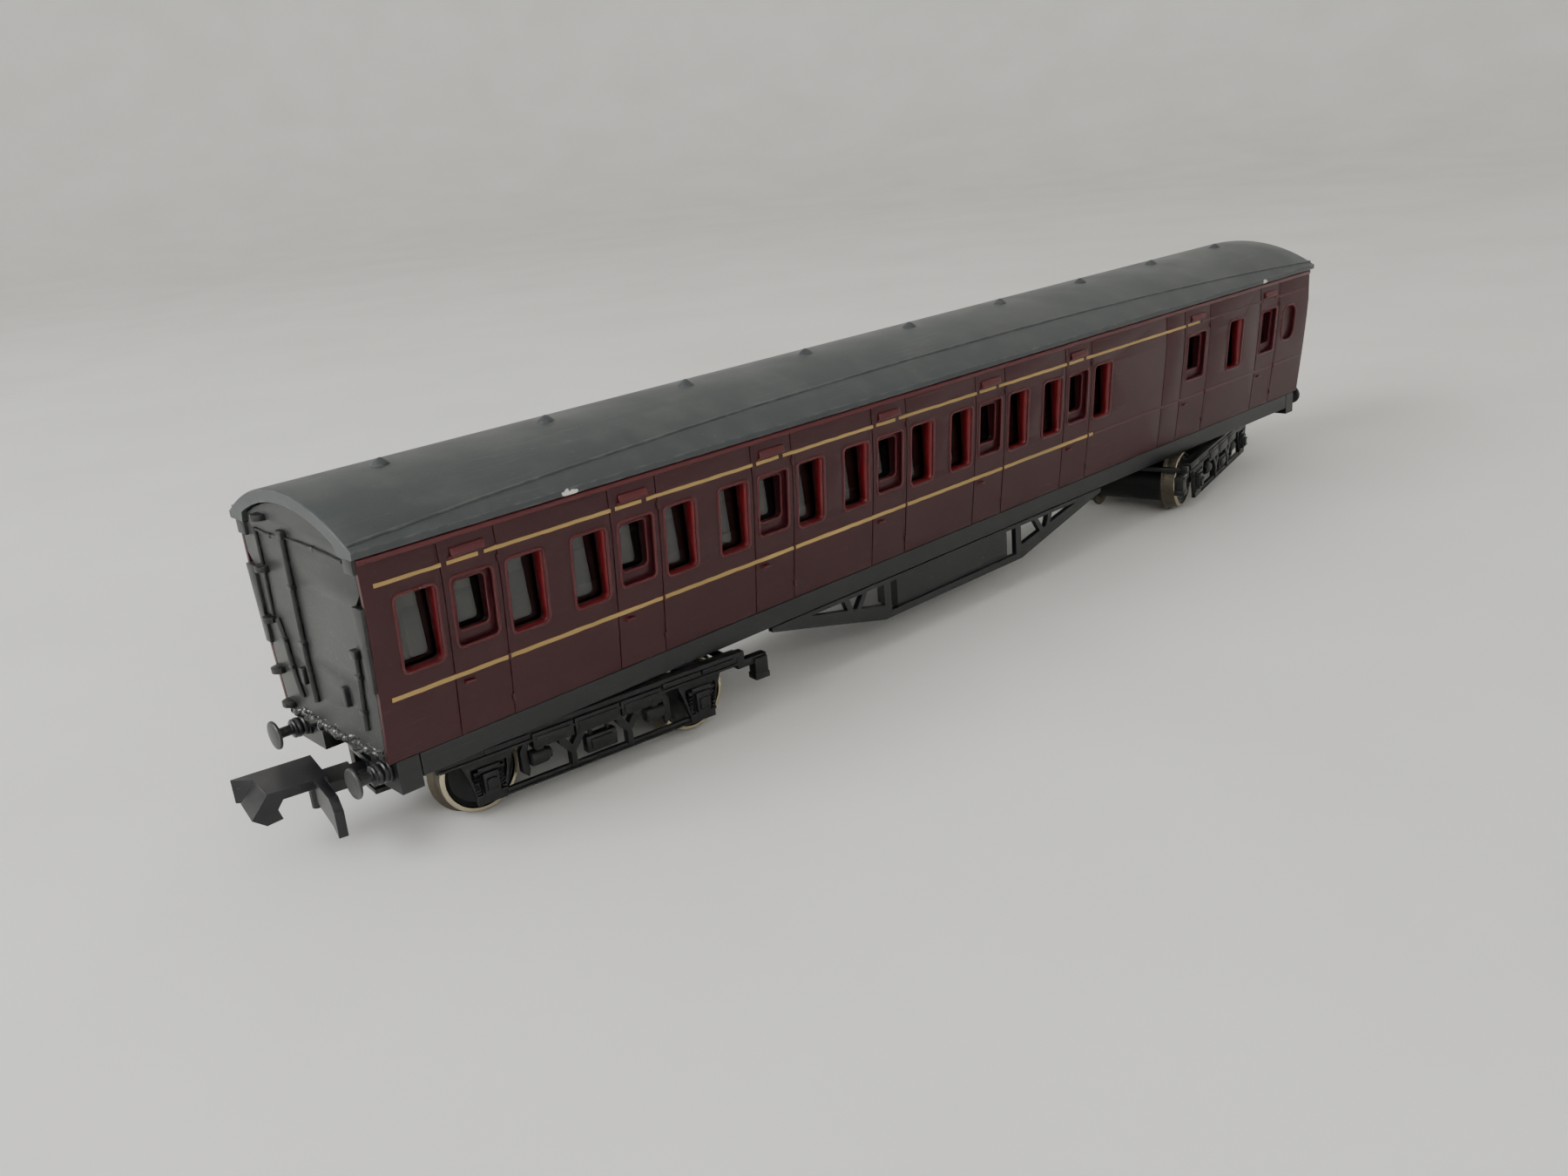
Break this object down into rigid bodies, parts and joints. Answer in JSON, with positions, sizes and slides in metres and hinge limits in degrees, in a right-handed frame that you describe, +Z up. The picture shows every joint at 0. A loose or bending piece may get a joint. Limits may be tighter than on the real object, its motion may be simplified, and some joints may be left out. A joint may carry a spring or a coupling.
{
  "type": "model passenger coach",
  "caption": "Small-scale model of a compartment brake coach: arched roof, panelled sides, swivelling bogies with spinning wheels and a sprung hook coupler at each end.",
  "frame": {"origin": "on the rail tops, midway along the body and midway between the rails", "axes": "+X along the coach towards the luggage end, +Y to its left side, +Z up"},
  "size_m": [0.1298, 0.0216, 0.0256],
  "materials": {
    "roof_grey": "satin",
    "end_grey": "satin",
    "maroon": "satin",
    "chassis_black": "satin",
    "bogie_black": "satin",
    "coupler_black": "satin",
    "nickel": "polished",
    "steel": "plain",
    "clear": "clear"
  },
  "bodies": {
    "coach_body": {"roof": "roof_grey", "right_side": "maroon", "left_side": "maroon", "compartment_end": "end_grey", "luggage_end": "end_grey", "right_glazing": "clear", "left_glazing": "clear", "ballast_weight": "steel", "underframe": "chassis_black", "left_truss": "chassis_black", "right_truss": "chassis_black", "near_buffer_beam": "chassis_black", "near_left_buffer": "chassis_black", "near_right_buffer": "chassis_black", "near_bogie_rivet": "steel", "far_buffer_beam": "chassis_black", "far_left_buffer": "chassis_black", "far_right_buffer": "chassis_black", "far_bogie_rivet": "steel"},
    "near_bogie": {"near_bogie_frame": "bogie_black", "near_coupler_keeper": "bogie_black"},
    "near_outer_wheelset": {"near_outer_axle": "bogie_black", "near_outer_left_tyre": "nickel", "near_outer_right_tyre": "nickel"},
    "near_inner_wheelset": {"near_inner_axle": "bogie_black", "near_inner_left_tyre": "nickel", "near_inner_right_tyre": "nickel"},
    "near_coupler_swing_mount": {"near_coupler_spring": "steel"},
    "near_coupler_hook": {"near_coupler": "coupler_black"},
    "far_bogie": {"far_bogie_frame": "bogie_black", "far_coupler_keeper": "bogie_black"},
    "far_outer_wheelset": {"far_outer_axle": "bogie_black", "far_outer_left_tyre": "nickel", "far_outer_right_tyre": "nickel"},
    "far_inner_wheelset": {"far_inner_axle": "bogie_black", "far_inner_left_tyre": "nickel", "far_inner_right_tyre": "nickel"},
    "far_coupler_swing_mount": {"far_coupler_spring": "steel"},
    "far_coupler_hook": {"far_coupler": "coupler_black"}
  },
  "joints": [
    {"name": "near_bogie_swivel", "type": "hinge", "parent": "coach_body", "child": "near_bogie", "pos_m": [-0.0417, 0, 0.0058], "axis": [0, 0, 1], "range_deg": [-8.5, 21.5]},
    {"name": "near_outer_wheelset_spin", "type": "hinge", "parent": "near_bogie", "child": "near_outer_wheelset", "pos_m": [-0.05039, 0.00099, 0.00295], "axis": [0.1132, 0.9936, 0], "continuous": true},
    {"name": "near_inner_wheelset_spin", "type": "hinge", "parent": "near_bogie", "child": "near_inner_wheelset", "pos_m": [-0.03301, -0.00099, 0.00295], "axis": [0.1132, 0.9936, 0], "continuous": true},
    {"name": "near_coupler_swing", "type": "hinge", "parent": "near_bogie", "child": "near_coupler_swing_mount", "pos_m": [-0.05551, 0.00157, 0.0037], "axis": [0, 0, 1], "range_deg": [-5, 11]},
    {"name": "near_coupler_lift", "type": "hinge", "parent": "near_coupler_swing_mount", "child": "near_coupler_hook", "pos_m": [-0.05551, 0.00157, 0.0037], "axis": [0.1736, 0.9848, 0], "range_deg": [0, 3]},
    {"name": "far_bogie_swivel", "type": "hinge", "parent": "coach_body", "child": "far_bogie", "pos_m": [0.0417, 0, 0.0058], "axis": [0, 0, 1], "range_deg": [-29.5, 0.5]},
    {"name": "far_outer_wheelset_spin", "type": "hinge", "parent": "far_bogie", "child": "far_outer_wheelset", "pos_m": [0.05017, 0.00219, 0.00295], "axis": [0.2504, -0.9681, 0], "continuous": true},
    {"name": "far_inner_wheelset_spin", "type": "hinge", "parent": "far_bogie", "child": "far_inner_wheelset", "pos_m": [0.03323, -0.00219, 0.00295], "axis": [0.2504, -0.9681, 0], "continuous": true},
    {"name": "far_coupler_swing", "type": "hinge", "parent": "far_bogie", "child": "far_coupler_swing_mount", "pos_m": [0.05516, 0.00348, 0.0037], "axis": [0, 0, 1], "range_deg": [-5, 11]},
    {"name": "far_coupler_lift", "type": "hinge", "parent": "far_coupler_swing_mount", "child": "far_coupler_hook", "pos_m": [0.05516, 0.00348, 0.0037], "axis": [0.1908, -0.9816, 0], "range_deg": [0, 3]}
  ]
}
